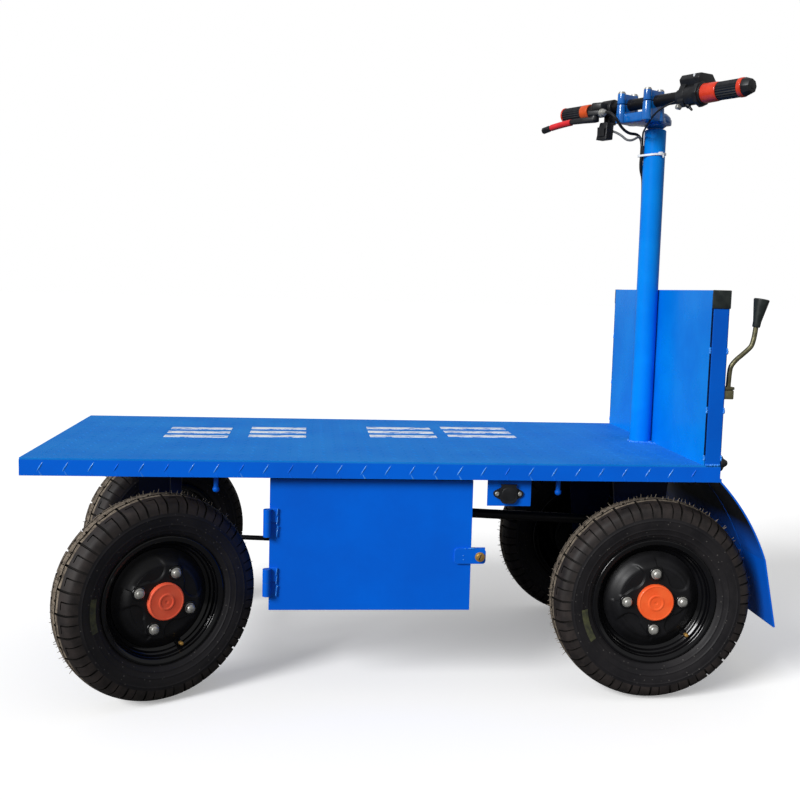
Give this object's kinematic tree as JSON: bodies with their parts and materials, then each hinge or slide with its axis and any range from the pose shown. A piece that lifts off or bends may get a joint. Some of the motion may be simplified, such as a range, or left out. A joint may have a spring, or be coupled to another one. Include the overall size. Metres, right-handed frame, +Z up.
{
  "type": "electric platform truck",
  "caption": "Four-wheel battery platform truck with a flat chequered deck, an upright at the back, a tall steering column with handlebar, and a battery box under the deck",
  "frame": {"origin": "on the floor, midway along and across the whole truck", "axes": "+X from the steered axle towards the operator, +Y from the battery door side to the far side, +Z up"},
  "size_m": [1.3179, 0.7382, 1.1369],
  "materials": {
    "blue_paint": "sprayed gloss enamel over mild steel",
    "head_paint": "gloss enamel on machined clamp parts",
    "black_steel": "black enamel on steel",
    "rim_black": "glossy black enamel on pressed steel",
    "tyre_rubber": "moulded tread rubber",
    "grip_rubber": "ribbed moulded rubber",
    "black_plastic": "moulded black plastic",
    "red_plastic": "moulded red sleeve",
    "cable_rubber": "smooth black cable jacket",
    "zinc_yellow": "yellow passivated zinc",
    "bare_steel": "bright drawn steel",
    "lock_brass": "turned brass, dulled",
    "battery_case": "moulded battery case",
    "motor_cast": "cast housing with dull grey paint"
  },
  "bodies": {
    "chassis": {"batteries": "battery_case", "box_back": "blue_paint", "box_ends": "blue_paint", "box_floor": "blue_paint", "cable_loom": "cable_rubber", "charge_bracket": "blue_paint", "charge_inlet": "black_plastic", "column_tube": "blue_paint", "crossmembers": "blue_paint", "deck_plate": "blue_paint", "door_hinges": "blue_paint", "drive_motor": "motor_cast", "fender_far": "blue_paint", "fender_near": "blue_paint", "front_beam": "blue_paint", "front_hangers": "blue_paint", "lever_knob": "black_plastic", "post_far": "blue_paint", "post_near": "blue_paint", "rail_far": "blue_paint", "rail_near": "blue_paint", "rear_apron": "blue_paint", "rear_axle": "black_steel", "rear_hangers": "blue_paint", "rope_pegs": "blue_paint", "side_lever": "zinc_yellow", "skirt_far": "blue_paint", "skirt_front": "blue_paint", "skirt_near": "blue_paint", "skirt_rear": "blue_paint", "wall_panel": "blue_paint", "wall_rail": "blue_paint"},
    "steering": {"steering_shaft": "head_paint", "head_yoke": "head_paint", "riser_caps": "head_paint", "handlebar": "black_steel", "throttle_grip": "grip_rubber", "control_pod": "black_plastic", "far_grip": "grip_rubber", "brake_perch": "black_plastic", "brake_lever": "red_plastic", "switch_box": "black_plastic", "cable_tails": "cable_rubber"},
    "near_knuckle": {"knuckle_near": "black_steel"},
    "far_knuckle": {"knuckle_far": "black_steel"},
    "track_rod": {"tie_rod": "black_steel"},
    "steering_link": {"drag_link": "black_steel"},
    "front_near_wheel": {"tyre_front_near": "tyre_rubber", "wheel_front_near": "rim_black"},
    "front_far_wheel": {"tyre_front_far": "tyre_rubber", "wheel_front_far": "rim_black"},
    "rear_near_wheel": {"tyre_rear_near": "tyre_rubber", "wheel_rear_near": "rim_black"},
    "rear_far_wheel": {"tyre_rear_far": "tyre_rubber", "wheel_rear_far": "rim_black"},
    "door": {"battery_door": "blue_paint", "door_lock": "lock_brass"}
  },
  "joints": [
    {"name": "steering_turn", "type": "hinge", "parent": "chassis", "child": "steering", "pos_m": [0.48753, 0, 1.091], "axis": [0, 0, 1], "range_deg": [-70, 6]},
    {"name": "near_kingpin", "type": "hinge", "parent": "chassis", "child": "near_knuckle", "pos_m": [-0.46497, -0.206, 0.1815], "axis": [0, 0, 1], "range_deg": [-70, 6]},
    {"name": "far_kingpin", "type": "hinge", "parent": "chassis", "child": "far_knuckle", "pos_m": [-0.46497, 0.206, 0.1815], "axis": [0, 0, 1], "range_deg": [-70, 6]},
    {"name": "track_rod_end", "type": "hinge", "parent": "near_knuckle", "child": "track_rod", "pos_m": [-0.39289, -0.16096, 0.1415], "axis": [0, 0, 1], "range_deg": [-6, 70]},
    {"name": "drag_link_end", "type": "hinge", "parent": "steering", "child": "steering_link", "pos_m": [0.52992, -0.06784, 0.2755], "axis": [0, 0, 1], "range_deg": [-6, 70]},
    {"name": "front_near_spin", "type": "hinge", "parent": "near_knuckle", "child": "front_near_wheel", "pos_m": [-0.43975, -0.24637, 0.1815], "axis": [-0.5299, 0.848, 0], "continuous": true},
    {"name": "front_far_spin", "type": "hinge", "parent": "far_knuckle", "child": "front_far_wheel", "pos_m": [-0.49019, 0.24637, 0.1815], "axis": [-0.5299, 0.848, 0], "continuous": true},
    {"name": "rear_near_spin", "type": "hinge", "parent": "chassis", "child": "rear_near_wheel", "pos_m": [0.43703, -0.248, 0.1815], "axis": [0, 1, 0], "continuous": true},
    {"name": "rear_far_spin", "type": "hinge", "parent": "chassis", "child": "rear_far_wheel", "pos_m": [0.43703, 0.248, 0.1815], "axis": [0, 1, 0], "continuous": true},
    {"name": "door_hinge", "type": "hinge", "parent": "chassis", "child": "door", "pos_m": [-0.24947, -0.2755, 0.243], "axis": [0, 0, -1], "range_deg": [0, 110]}
  ],
  "couplings": [
    {"joint": "near_kingpin", "follows": "steering_turn", "ratio": 1},
    {"joint": "far_kingpin", "follows": "steering_turn", "ratio": 1},
    {"joint": "track_rod_end", "follows": "steering_turn", "ratio": -1},
    {"joint": "drag_link_end", "follows": "steering_turn", "ratio": -1}
  ]
}
